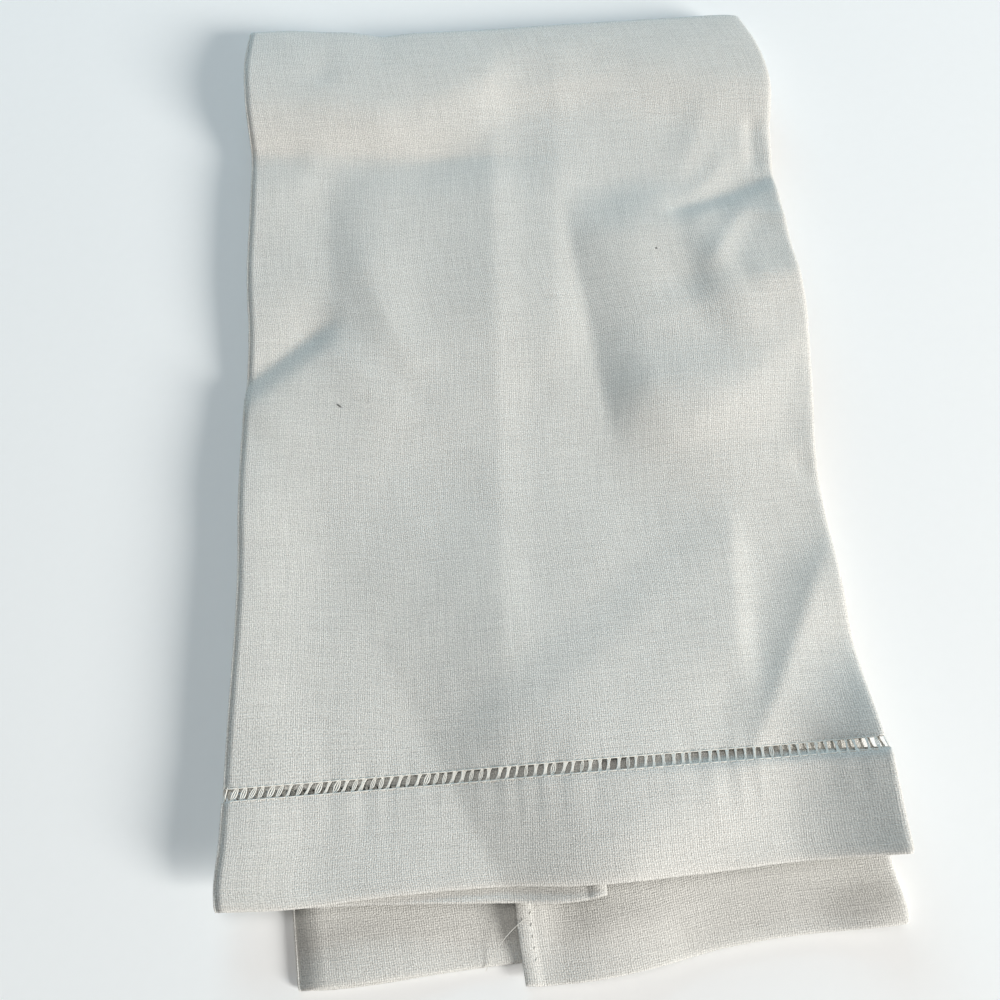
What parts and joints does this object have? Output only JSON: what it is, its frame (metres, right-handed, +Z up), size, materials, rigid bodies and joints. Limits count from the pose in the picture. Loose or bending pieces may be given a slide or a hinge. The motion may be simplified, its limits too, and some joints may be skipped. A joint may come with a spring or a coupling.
{
  "type": "hand towel",
  "caption": "Hemstitched plain-weave linen hand towel, folded in three lengthwise and then in half, lying flat.",
  "frame": {"origin": "middle of the folded outline, on the surface that the towel rests on", "axes": "+Y runs along the folded towel from the hems to the cross fold, +X across it to the right as seen from above with the hems near, +Z up"},
  "size_m": [0.17, 0.2885, 0.0121],
  "materials": {
    "linen": "off-white plain-weave linen, lightly slubbed, matt"
  },
  "bodies": {
    "root": {"towel": "linen"}
  },
  "joints": []
}
